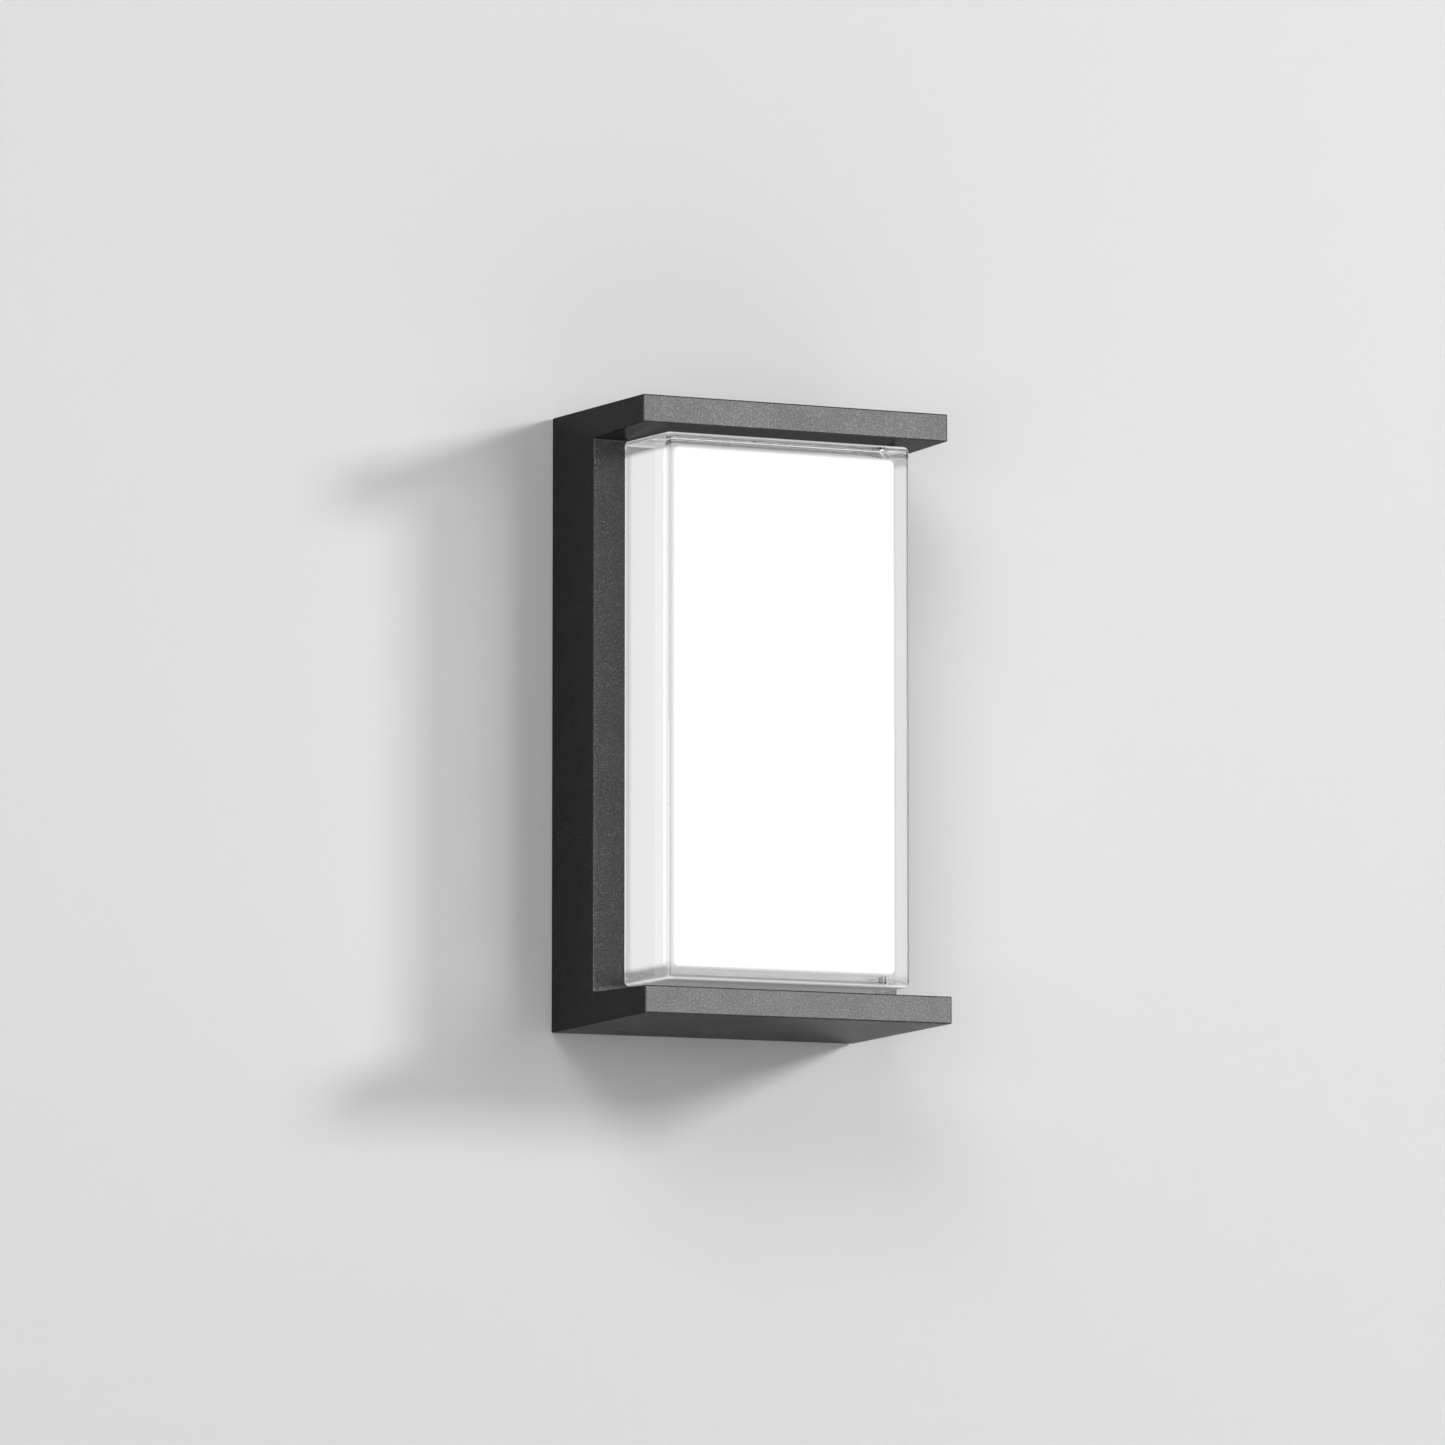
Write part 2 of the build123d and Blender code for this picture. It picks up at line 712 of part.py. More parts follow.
# Terminal block on an insulating base: a channel for each pole, open at the back
terminal_width_with_ears = 2 * (terminal_half_width + terminal_ear)
with BuildPart() as terminal_base:
    with BuildSketch(Plane.XZ.offset(plate_sheet)):
        with Locations((0, terminal_middle)):
            Rectangle(terminal_width_with_ears, terminal_length)
        with Locations(*terminal_screw_places):
            Circle(small_screw_radius + small_screw_gap, mode=Mode.SUBTRACT)
    extrude(amount=base_sheet)
with BuildPart() as terminal_block:
    with BuildSketch(Plane.XZ.offset(terminal_back)):
        with Locations((0, terminal_middle)):
            Rectangle(2 * terminal_half_width, terminal_length)
    extrude(amount=terminal_depth)
    fillet(terminal_block.edges().filter_by(Axis.Y), edge_radius)
    with BuildSketch(Plane.XZ.offset(terminal_back)):
        with Locations((0, terminal_middle)):
            Rectangle(terminal_width_with_ears, terminal_length)
        with Locations(*terminal_screw_places):
            Circle(small_screw_radius + small_screw_gap, mode=Mode.SUBTRACT)
    extrude(amount=ear_sheet)
    for pole_x in poles.values():
        with BuildSketch(Plane.XZ.offset(terminal_back)):
            with Locations((pole_x, terminal_middle)):
                Rectangle(channel_width, terminal_length - 2 * terminal_wall)
        extrude(amount=channel_depth, mode=Mode.SUBTRACT)
        with BuildSketch(Plane.XY.offset(terminal_top - 2 * terminal_wall)):
            with Locations((pole_x, -entry_depth)):
                Circle(entry_radius)
        extrude(amount=2 * terminal_wall, mode=Mode.SUBTRACT)
        with BuildSketch(Plane.XZ.offset(terminal_front)):
            with Locations((pole_x, button_z)):
                Rectangle(button_side + 2 * button_gap, button_side + 2 * button_gap)
        extrude(amount=-(terminal_depth - channel_depth - terminal_wall), mode=Mode.SUBTRACT)
        with BuildSketch(Plane.XZ.offset(terminal_back)):
            with Locations((pole_x, socket_z)):
                Circle(contact_bore + contact_wall + contact_gap)
        extrude(amount=terminal_depth, mode=Mode.SUBTRACT)

# Release buttons: square plungers that stand out of the terminal block
button_rear = terminal_back + channel_depth + terminal_wall + button_travel + button_stop_gap
buttons = {}
for pole, pole_x in poles.items():
    with BuildPart() as button:
        with BuildSketch(Plane.XZ.offset(button_rear)):
            with Locations((pole_x, button_z)):
                Rectangle(button_side, button_side)
        extrude(amount=terminal_front + button_stand_out - button_rear)
        fillet(button.faces().sort_by(Axis.Y)[0].edges(), edge_radius)
        with BuildSketch(Plane.XZ.offset(terminal_front + button_stand_out)):
            with Locations((pole_x, button_z)):
                Rectangle(button_slot_length, button_slot_width)
        extrude(amount=-button_slot_depth, mode=Mode.SUBTRACT)
    buttons["release_button_" + pole] = button.part

# Contacts: a socket sleeve for each pin, on a strip that runs up to the wire entry
with BuildPart() as terminal_contacts:
    for pole_x in poles.values():
        with BuildSketch(Plane.XZ.offset(terminal_back)):
            with Locations((pole_x, socket_z)):
                Circle(contact_bore + contact_wall)
        extrude(amount=terminal_depth - blind_gap)
        with BuildSketch(Plane.XZ.offset(terminal_back)):
            with Locations((pole_x, terminal_middle)):
                Rectangle(
                    channel_width - 2 * contact_gap,
                    terminal_length - 2 * (terminal_wall + contact_gap),
                )
        extrude(amount=contact_strip)
        with BuildSketch(Plane.XZ.offset(terminal_front - pin_engagement - blind_gap)):
            with Locations((pole_x, socket_z)):
                Circle(contact_bore)
        extrude(amount=terminal_depth, mode=Mode.SUBTRACT)
terminal_screws = pan_head_screws(terminal_screw_places, terminal_back + ear_sheet, blind_floor + blind_gap)

# Earth stud of the wall plate, with the lead that joins it to the terminal block
plate_lead_depth = plate_sheet + lead_stand_off
plate_earth_stud = stud(plate_stud_z, plate_sheet, 1)
plate_earth_tag = ring_tag(plate_stud_z, plate_sheet, 1)
plate_earth_nut = stud_nut(plate_stud_z, plate_sheet, 1)
plate_earth_lead = lead(
    [
        (0, plate_lead_depth, plate_stud_z - tag_reach),
        (0, plate_lead_depth, terminal_top),
    ]
)

# Set screws: flat-tipped, with a hexagon socket, down through the top wall onto the plate's rim
set_screws = {}
screw_top = outer_half(screw_depth) - screw_sink
screw_tip = plate_half_height + screw_tip_gap
for name, screw_side in (("fixing_screw_left", -1), ("fixing_screw_right", 1)):
    with BuildPart() as set_screw:
        with BuildSketch(Plane.XY.offset(screw_tip)):
            with Locations((screw_side * screw_x, -screw_depth)):
                Circle(screw_radius)
        extrude(amount=screw_top - screw_tip)
        chamfer(set_screw.faces().sort_by(Axis.Z)[0].edges(), small_chamfer)
        chamfer(set_screw.faces().sort_by(Axis.Z)[-1].edges(), small_chamfer)
        with BuildSketch(Plane.XY.offset(screw_top)):
            with Locations((screw_side * screw_x, -screw_depth)):
                RegularPolygon(hex_across_flats / math.sqrt(3), 6)
        extrude(amount=-hex_depth, mode=Mode.SUBTRACT)
    set_screws[name] = set_screw.part

# Every piece under its own name
pieces = {
    "frame_casting": frame_casting.part,
    "glass_block": glass_block.part,
    "glass_collar": glass_collar,
    "opal_liner": opal_liner.part,
    "glass_front_seal": front_seal,
    "glass_rear_cushion": rear_cushion,
    "gear_tray": gear_tray.part,
    "tray_screws": tray_screws,
    "tray_grommet": tray_grommet.part,
    "led_board": led_board.part,
    "led_chips": led_chips.part,
    "led_connector": led_connector.part,
    "led_board_screws": board_screws,
    "driver_case": driver_case.part,
    "driver_lid": driver_lid.part,
    "driver_screws": driver_screws,
    "plug_block": plug_block.part,
    "plug_pins": plug_pins.part,
    "plug_screws": plug_screws,
    "live_lead": live_lead,
    "neutral_lead": neutral_lead,
    "earth_lead": earth_lead,
    "tray_earth_stud": tray_earth_stud,
    "tray_earth_tag": tray_earth_tag,
    "tray_earth_nut": tray_earth_nut,
    **led_leads,
    "wall_plate": wall_plate.part,
    "plate_rim": plate_rim,
    "perimeter_seal": perimeter_seal,
    **grommets,
    "terminal_base": terminal_base.part,
    "terminal_block": terminal_block.part,
    "terminal_contacts": terminal_contacts.part,
    "terminal_screws": terminal_screws,
    **buttons,
    "plate_earth_stud": plate_earth_stud,
    "plate_earth_tag": plate_earth_tag,
    "plate_earth_nut": plate_earth_nut,
    "plate_earth_lead": plate_earth_lead,
    **set_screws,
}
os.makedirs("parts", exist_ok=True)
for label, piece in pieces.items():
    piece.label = label
    export_step(piece, f"parts/{label}.step")
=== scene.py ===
"""Outdoor wall lantern: its finishes, glass block, liner, screws and stage around the fixed model."""

import json
import math

import bpy
from bpy.props import FloatProperty, FloatVectorProperty, IntProperty, PointerProperty
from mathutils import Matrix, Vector

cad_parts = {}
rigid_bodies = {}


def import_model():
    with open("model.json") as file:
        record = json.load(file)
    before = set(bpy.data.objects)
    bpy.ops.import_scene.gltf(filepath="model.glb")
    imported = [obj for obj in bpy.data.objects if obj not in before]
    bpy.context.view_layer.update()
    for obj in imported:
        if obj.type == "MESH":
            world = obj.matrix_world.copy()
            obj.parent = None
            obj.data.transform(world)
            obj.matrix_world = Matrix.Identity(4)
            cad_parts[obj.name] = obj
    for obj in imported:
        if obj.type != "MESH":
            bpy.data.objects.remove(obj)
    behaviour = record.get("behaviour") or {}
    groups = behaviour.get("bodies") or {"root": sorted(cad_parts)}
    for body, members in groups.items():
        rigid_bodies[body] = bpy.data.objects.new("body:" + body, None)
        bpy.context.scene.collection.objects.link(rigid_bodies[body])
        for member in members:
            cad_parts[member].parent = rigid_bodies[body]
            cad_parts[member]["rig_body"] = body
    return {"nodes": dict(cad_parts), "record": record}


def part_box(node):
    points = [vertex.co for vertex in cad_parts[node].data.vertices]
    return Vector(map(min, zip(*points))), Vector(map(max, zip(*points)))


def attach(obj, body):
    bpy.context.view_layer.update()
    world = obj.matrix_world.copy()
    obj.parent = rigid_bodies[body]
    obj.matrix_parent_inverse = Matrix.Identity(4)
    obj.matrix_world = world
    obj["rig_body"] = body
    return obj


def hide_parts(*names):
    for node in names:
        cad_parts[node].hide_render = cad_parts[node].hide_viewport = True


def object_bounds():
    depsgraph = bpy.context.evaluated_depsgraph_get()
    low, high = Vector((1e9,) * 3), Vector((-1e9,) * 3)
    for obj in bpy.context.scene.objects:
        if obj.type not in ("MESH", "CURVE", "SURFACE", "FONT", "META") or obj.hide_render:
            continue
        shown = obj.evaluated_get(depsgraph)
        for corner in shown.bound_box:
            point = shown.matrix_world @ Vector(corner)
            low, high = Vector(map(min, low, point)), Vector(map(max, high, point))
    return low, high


bl_info = {
    "name": "Outdoor Wall Lantern",
    "version": (1, 0, 0),
    "blender": (4, 5, 0),
    "location": "View3D > Sidebar > Lantern",
    "description": "Finishes, glass, liner, screws and stage of an outdoor wall lantern",
    "category": "Object",
}

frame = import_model()
cad_low, cad_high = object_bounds()
SLOT_OF = {row["node"]: row["material_slot"] for row in frame["record"]["subparts"]}
GLASS_LOW, GLASS_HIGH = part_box("glass_block")
LINER_LOW, LINER_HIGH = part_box("opal_liner")

# The rays that meet the even tone of the surroundings, and a pattern that is stretched along no axis.
SHOWN_TO = ("Is Camera Ray", "Is Glossy Ray", "Is Transmission Ray")
EVEN = (1.0, 1.0, 1.0)

# Corners nearer than TOUCHING stand at one depth, and corners nearer than MERGED become one.
TOUCHING = 0.00001
MERGED = 0.000001

# A face looks straight along an axis where that part of its normal is larger than this.
STRAIGHT = 0.999

# Edges sharper than these angles stay sharp where the rest of a piece is shaded smooth.
GLASS_CREASE = math.radians(40)
SCREW_CREASE = math.radians(35)

# Facets in the rounding next to the spine, around a screw head and in the rounding of its rim.
SEAT_FACETS = 3
HEAD_FACETS = 32
RIM_FACETS = 4

# How much of a screw head's height its rim is rounded by.
RIM_SHARE = 0.45

# Width of the camera's sensor in millimetres, and how far it sees in metres.
SENSOR_WIDTH = 36.0
SIGHT = 100.0


def length(name, description, default):
    """A property that holds a length in metres."""
    return FloatProperty(
        name=name, description=description, default=default, unit="LENGTH", precision=5
    )


def share(name, description, default):
    """A property that holds a plain number."""
    return FloatProperty(name=name, description=description, default=default, min=0.0)


def angle(name, description, degrees):
    """A property that holds an angle, given here in degrees."""
    return FloatProperty(
        name=name, description=description, default=math.radians(degrees), subtype="ANGLE"
    )


def colour(name, description, default):
    """A property that holds a linear colour."""
    return FloatVectorProperty(
        name=name, description=description, default=default, subtype="COLOR", size=3, min=0.0, max=1.0
    )


def place(name, description, default):
    """A property that holds a point in the lantern's frame."""
    return FloatVectorProperty(
        name=name, description=description, default=default, subtype="TRANSLATION", size=3
    )


class LanternCoat(bpy.types.PropertyGroup):
    """The powder coat of the frame casting."""

    graphite: colour("Graphite", "Colour of the powder coat", (0.062, 0.062, 0.063))
    fleck: colour("Fleck", "Colour of the metal flecks in the coat", (0.112, 0.112, 0.114))
    rim_tint: colour("Rim tint", "How much the coat gleams at flat angles", (0.15, 0.15, 0.15))
    grain: length("Grain", "Width of one grain of the textured skin", 0.0006)
    relief: length("Relief", "Height of the grains", 0.00003)
    roughness: share("Roughness", "Mean roughness of the coat", 0.22)
    metal: share("Metal", "Share of metal in the coat", 0.78)


class LanternGlass(bpy.types.PropertyGroup):
    """The glass block and the opal liner inside it."""

    draft: angle("Draft", "Slope of the top face", 1.5)
    wall: length("Glass wall", "Thickness of the glass", 0.0057)
    edge_radius: length("Edge radius", "Rounding of the outer edges of the glass", 0.0024)
    cavity_radius: length("Cavity radius", "Rounding of the inner edges of the glass", 0.00285)
    seat: length("Seat", "Depth at which the glass stands on the spine", 0.0461)
    seat_radius: length("Seat radius", "Rounding of the edges next to the spine", 0.0005)
    neck_step: length("Neck step", "How far the neck is set in from the sides of the glass", 0.0024)
    liner_wall: length("Liner wall", "Thickness of the opal liner", 0.0012)
    liner_radius: length("Liner radius", "Rounding of the outer edges of the liner", 0.003)
    segments: IntProperty(
        name="Segments", description="Facets in each rounded edge", default=8, min=2
    )
    refraction: share("Refraction", "Index of refraction of the glass", 1.5)
    clear: colour("Clear", "Tint of the glass", (0.985, 0.99, 0.99))
    opal: colour("Opal", "Colour of the liner in daylight", (0.12, 0.12, 0.118))
    front_glow: share("Front glow", "Light that the front of the liner gives off", 1.15)
    side_glow: share("Side glow", "Light that the sides of the liner give off", 1.10)
    end_glow: share("End glow", "Light that the top and bottom of the liner give off", 0.72)
    rear_glow: share("Rear glow", "Share of the light that is left at the rear of the liner", 0.75)
    fading: length("Fading", "Length over which the light fades towards the rear", 0.005)
    film: colour("Film", "Clearness of the liner's skin, which dims flat angles", (0.16, 0.16, 0.16))
    # Strength of the painted highlight: the rounded edges of the glass give off light in place of the
    # reflections there.
    edge_highlight_paint: share("Edge glow", "Light that gathers in the rounded edges of the glass", 0.30)


class LanternTrim(bpy.types.PropertyGroup):
    """The pieces on the tray and on the wall plate."""

    aluminium: colour("Aluminium", "Rolled sheet of the tray and the plate", (0.60, 0.61, 0.62))
    zinc: colour("Zinc", "Plated steel of the small screws and studs", (0.62, 0.63, 0.66))
    black_steel: colour("Black steel", "Blackened steel of the set screws", (0.035, 0.035, 0.04))
    brass: colour("Brass", "Pins, sockets and ring tags", (0.72, 0.52, 0.24))
    rubber: colour("Rubber", "Perimeter seal and grommets", (0.018, 0.018, 0.019))
    silicone: colour("Silicone", "Seals on the glass collar", (0.62, 0.62, 0.60))
    board: colour("Board", "Solder mask of the light board", (0.80, 0.80, 0.78))
    phosphor: colour("Phosphor", "Light-emitting face of a chip", (0.86, 0.62, 0.12))
    connector: colour("Connector", "Moulded connector on the board", (0.76, 0.75, 0.71))
    driver: colour("Driver", "Case of the driver", (0.70, 0.70, 0.69))
    terminal: colour("Terminal", "Terminal block and plug", (0.42, 0.43, 0.44))
    insulator: colour("Insulator", "Sheet under the terminal block", (0.16, 0.09, 0.045))
    button: colour("Button", "Release buttons", (0.78, 0.22, 0.025))
    live: colour("Live lead", "Insulation of the live lead", (0.13, 0.055, 0.022))
    neutral: colour("Neutral lead", "Insulation of the neutral lead", (0.03, 0.12, 0.42))
    earth_green: colour("Earth green", "First colour of the earth lead", (0.03, 0.24, 0.045))
    earth_yellow: colour("Earth yellow", "Second colour of the earth lead", (0.80, 0.60, 0.03))
    positive: colour("Positive lead", "Insulation of the positive lead", (0.48, 0.02, 0.018))
    negative: colour("Negative lead", "Insulation of the negative lead", (0.02, 0.02, 0.021))
    head_radius: length("Screw head", "Radius of a small screw head", 0.0027)
    head_height: length("Head height", "Height of a small screw head", 0.0018)
    shank_radius: length("Screw shank", "Radius of a small screw shank", 0.0015)
    recess_span: length("Recess span", "Span of the cross recess", 0.0034)
    recess_width: length("Recess width", "Width of one bar of the cross recess", 0.0007)
    recess_depth: length("Recess depth", "Depth of the cross recess", 0.0010)


class LanternStage(bpy.types.PropertyGroup):
    """The wall, floor, lamps and camera."""

    camera: place("Camera", "Where the camera stands", (-1.76884, -3.78074, -0.46340))
    yaw: angle("Yaw", "Turn of the camera to the right of the wall's normal", 25.197)
    pitch: angle("Pitch", "Tilt of the camera above the horizon", 6.397)
    lens: share("Lens", "Focal length on a 36 mm sensor, in millimetres", 231.444)
    key: place("Key lamp", "Where the key lamp stands", (2.40, -2.34, 0.85))
    key_size: length("Key size", "Side of the key lamp", 0.58)
    key_power: share("Key power", "Watts of the key lamp", 70.0)
    softbox: place("Softbox", "Where the soft lamp for the front stands", (1.68, -3.6, 0.32))
    softbox_size: length("Softbox size", "Side of the soft lamp", 1.6)
    softbox_power: share("Softbox power", "Watts of the soft lamp", 34.0)
    fill: place("Fill lamp", "Where the weak lamp beside the camera stands", (-1.70, -2.20, -0.20))
    fill_size: length("Fill size", "Side of the weak lamp", 1.0)
    fill_power: share("Fill power", "Watts of the weak lamp", 15.0)
    high: place("High lamp", "Where the lamp above the camera stands", (-1.28, -2.06, 1.4))
    high_size: length("High size", "Side of the lamp above the camera", 1.2)
    high_power: share("High power", "Watts of the lamp above the camera", 23.0)
    rear: place("Rear lamp", "Where the lamp behind the wall stands", (0.0, 2.2, 0.2))
    rear_size: length("Rear size", "Side of the lamp behind the wall", 1.2)
    rear_power: share("Rear power", "Watts of the lamp behind the wall", 14.0)
    ambient: share("Ambient", "Light from all around", 0.10)
    backdrop: share("Backdrop", "Tone of the surroundings that show behind the lantern", 0.70)
    wall_colour: colour("Wall colour", "Paint of the wall", (0.645, 0.645, 0.645))
    floor_colour: colour("Floor colour", "Paint of the floor", (0.68, 0.68, 0.68))
    wall_size: length("Wall size", "Side of the square of wall", 3.2)
    floor_size: length("Floor size", "Side of the square of floor", 24.0)
    floor_drop: length("Floor drop", "Depth of the floor below the lantern's centre", 1.6)
    wall_gap: length("Wall gap", "Room between the wall and the lantern's back", 0.0004)


class Signal:
    """A shader value that takes part in Python expressions: each operator adds one Math node."""

    def __init__(self, draft, socket):
        self.draft = draft
        self.socket = socket

    def maths(self, operation, *operands):
        """Adds one Math node and returns its result."""
        return self.draft.node("ShaderNodeMath", {"operation": operation}, dict(enumerate(operands)))

    def __add__(self, other):
        return self.maths("ADD", self, other)

    def __radd__(self, other):
        return self.maths("ADD", other, self)

    def __sub__(self, other):
        return self.maths("SUBTRACT", self, other)

    def __rsub__(self, other):
        return self.maths("SUBTRACT", other, self)

    def __mul__(self, other):
        return self.maths("MULTIPLY", self, other)

    def __rmul__(self, other):
        return self.maths("MULTIPLY", other, self)

    def __gt__(self, other):
        return self.maths("GREATER_THAN", self, other)

    def largest(self, other):
        return self.maths("MAXIMUM", self, other)

    def absolute(self):
        return self.maths("ABSOLUTE", self)

    def wave(self):
        return self.maths("SINE", self)

    def swing(self, span):
        """A signal from 0 to 1 moved to lie around zero, and scaled to this span."""
        return (self - 0.5) * span


class NodeDraft:
    """A node tree that is being written."""

    def __init__(self, tree):
        self.tree = tree

    def node(self, kind, settings=None, sockets=None, take=0):
        """Adds a node, sets it up, feeds its sockets and returns one of its outputs, if any."""
        made = self.tree.nodes.new(kind)
        for name, value in (settings or {}).items():
            setattr(made, name, value)
        for name, value in (sockets or {}).items():
            self.feed(made.inputs[name], value)
        return Signal(self, made.outputs[take]) if made.outputs else None

    def feed(self, socket, value):
        """Links a signal to a socket, or sets the socket's own value."""
        if isinstance(value, Signal):
            self.tree.links.new(value.socket, socket)
        elif socket.type == "RGBA":
            socket.default_value = (*value[:3], 1.0)
        else:
            socket.default_value = value

    def mix_shader(self, factor, first, second):
        return self.node("ShaderNodeMixShader", None, {0: factor, 1: first, 2: second})

    def ray(self, *kinds):
        """One where a ray is of any of these kinds, as the Light Path node names them."""
        seen = self.node("ShaderNodeLightPath", take=kinds[0])
        for kind in kinds[1:]:
            seen = seen.largest(self.node("ShaderNodeLightPath", take=kind))
        return seen


class Finish(NodeDraft):
    """A material of the lantern: a Principled shader and the patterns that feed it."""

    def __init__(self, name, **constants):
        self.material = bpy.data.materials.new(name)
        self.material.use_nodes = True
        super().__init__(self.material.node_tree)
        self.shader = self.tree.nodes["Principled BSDF"]
        for socket, value in constants.items():
            self.give(socket.replace("_", " "), value)

    def give(self, socket, value):
        """Feeds one input of the Principled shader."""
        self.feed(self.shader.inputs[socket], value)

    def position(self, stretch=EVEN):
        """Object coordinates, stretched along the axes."""
        where = self.node("ShaderNodeTexCoord", take="Object")
        if stretch == EVEN:
            return where
        return self.node("ShaderNodeMapping", None, {"Vector": where, "Scale": stretch})

    def axis(self, name):
        """One Object coordinate, in metres."""
        return self.node("ShaderNodeSeparateXYZ", None, {"Vector": self.position()}, take=name)

    def facing(self):
        """The three parts of the surface's normal in Object coordinates."""
        normal = {"Vector": self.node("ShaderNodeTexCoord", take="Normal")}
        return [self.node("ShaderNodeSeparateXYZ", None, normal, take=name) for name in "XYZ"]

    def grey(self, level):
        """A grey colour of one level."""
        return self.node("ShaderNodeCombineXYZ", None, {0: level, 1: level, 2: level})

    def noise(self, width, detail=2.0, stretch=EVEN):
        """Soft noise from 0 to 1 whose blotches are about this wide, in metres."""
        sockets = {"Vector": self.position(stretch), "Scale": 1.0 / width, "Detail": detail}
        return self.node("ShaderNodeTexNoise", None, sockets, take="Fac")

    def cells(self, width):
        """Distance from the middle of the nearest of many small cells, about 0 to 1."""
        sockets = {"Vector": self.position(), "Scale": 1.0 / width}
        return self.node("ShaderNodeTexVoronoi", None, sockets, take="Distance")

    def between(self, signal, low, high):
        """Rises smoothly from 0 to 1 as a signal goes from low to high."""
        sockets = {"Value": signal, "From Min": low, "From Max": high}
        return self.node("ShaderNodeMapRange", {"interpolation_type": "SMOOTHSTEP"}, sockets)

    def blend(self, factor, first, second):
        """Mixes two colours."""
        sockets = {0: factor, 6: first, 7: second}
        return self.node("ShaderNodeMix", {"data_type": "RGBA"}, sockets, take=2)

    def relief(self, height, depth):
        """Raises the surface by a height from 0 to 1 times a depth in metres."""
        sockets = {"Height": height, "Distance": depth, "Strength": 1.0}
        self.give("Normal", self.node("ShaderNodeBump", None, sockets))


def tinted(base, factor):
    """A colour made lighter or darker by a plain factor."""
    return tuple(min(1.0, channel * factor) for channel in base)


def powder_coat():
    """Graphite powder coat: a finely grained skin with dull metal flecks and soft mottling."""
    coat = bpy.context.scene.lantern_coat
    finish = Finish("graphite_powder_coat", Specular_IOR_Level=0.1, Specular_Tint=coat.rim_tint)
    grain = finish.noise(width=coat.grain, detail=1.5)
    fine_grain = finish.noise(width=coat.grain * 0.45, detail=1.0)
    mottle = finish.noise(width=coat.grain * 30, detail=3.0)
    flecks = finish.between(grain * 0.6 + fine_grain * 0.4, low=0.50, high=0.62)
    tone = finish.blend(flecks, coat.graphite, coat.fleck)
    shade = finish.between(mottle, low=0.2, high=0.8)
    finish.give("Base Color", finish.blend(shade * 0.18, tone, tinted(coat.graphite, 0.6)))
    finish.give("Metallic", coat.metal + flecks.swing(0.1))
    finish.give("Roughness", coat.roughness + grain.swing(0.16) + mottle.swing(0.06))
    finish.relief(grain * 0.7 + fine_grain * 0.3, depth=coat.relief)
    return finish.material


def clear_glass():
    """Polished cast glass with a breath of haze, and a painted highlight: its rounded edges glow, most
    along the top and bottom.
    """
    look = bpy.context.scene.lantern_glass
    finish = Finish(
        "clear_glass", IOR=look.refraction, Transmission_Weight=1.0, Emission_Strength=1.0
    )
    haze = finish.noise(width=0.06, detail=2.0)
    finish.give("Base Color", finish.blend(haze * 0.3, look.clear, tinted(look.clear, 0.985)))
    finish.give("Roughness", haze * 0.012)
    ripple = finish.noise(width=0.045, detail=0.0, stretch=(1.0, 1.0, 0.35))
    finish.relief(ripple, depth=0.00004)
    # Painted highlight: the rounded edges of the glass give off light, more on the top and bottom
    # edges than on the upright ones.
    across, outward, upward = [part.absolute() for part in finish.facing()]
    flatness = across.largest(outward).largest(upward)
    rounding = finish.between(1.0 - flatness, low=0.08, high=0.27)
    finish.give("Emission Color", finish.grey(rounding * (0.3 + upward) * look.edge_highlight_paint))
    return finish.material


def opal_glow():
    """Opal white that glows most at its front, less at its ends and rear, and dims at flat angles."""
    look = bpy.context.scene.lantern_glass
    skin = {"Coat_Weight": 1.0, "Coat_Roughness": 0.3, "Coat_Tint": look.film}
    finish = Finish("opal_white", Roughness=0.4, Emission_Strength=1.0 / look.film[0], **skin)
    glow = 0.0
    for part, level in zip(finish.facing(), (look.side_glow, look.front_glow, look.end_glow)):
        glow = part * part * level + glow
    forward = finish.between(finish.axis("Y") * -1.0, look.seat, look.seat + look.fading)
    cloud = finish.noise(width=0.05, detail=2.0)
    glow = glow * (look.rear_glow + forward * (1.0 - look.rear_glow)) * (0.985 + cloud * 0.03)
    finish.give("Emission Color", finish.grey(glow))
    finish.give("Base Color", finish.blend(cloud, look.opal, tinted(look.opal, 0.97)))
    return finish.material


def rolled_sheet(name, base, along):
    """Rolled aluminium: hairlines along one axis, dull patches and a few scuffs."""
    finish = Finish(name, Metallic=1.0)
    stretch = tuple(0.02 if axis == along else 1.0 for axis in "XYZ")
    hairline = finish.noise(width=0.0007, detail=3.0, stretch=stretch)
    patch = finish.noise(width=0.03, detail=4.0)
    scuff = finish.between(finish.noise(width=0.006, detail=6.0), low=0.60, high=0.75)
    tone = finish.blend(patch, tinted(base, 0.82), tinted(base, 1.08))
    finish.give("Base Color", finish.blend(scuff * 0.35, tone, tinted(base, 1.3)))
    finish.give("Roughness", 0.34 + hairline * 0.12 + patch * 0.10)
    finish.relief(hairline, depth=0.00001)
    return finish.material


def plated_metal(name, base, roughness, metallic=1.0):
    """Plated or turned metal: faint turning marks and cloudy tarnish."""
    finish = Finish(name, Metallic=metallic)
    tarnish = finish.noise(width=0.003, detail=3.0)
    marks = finish.noise(width=0.0003, detail=2.0)
    finish.give("Base Color", finish.blend(tarnish, tinted(base, 0.72), tinted(base, 1.15)))
    finish.give("Roughness", roughness + tarnish.swing(0.16) + marks.swing(0.10))
    finish.relief(marks, depth=0.000008)
    return finish.material


def moulded_plastic(name, base, roughness, grain):
    """Moulded plastic: a spark-eroded grain and slow shifts of tone."""
    finish = Finish(name)
    skin = finish.noise(width=grain, detail=2.0)
    flow = finish.noise(width=0.02, detail=2.0)
    finish.give("Base Color", finish.blend(flow, tinted(base, 0.92), tinted(base, 1.05)))
    finish.give("Roughness", roughness + skin.swing(0.14))
    finish.relief(skin, depth=0.00002)
    return finish.material


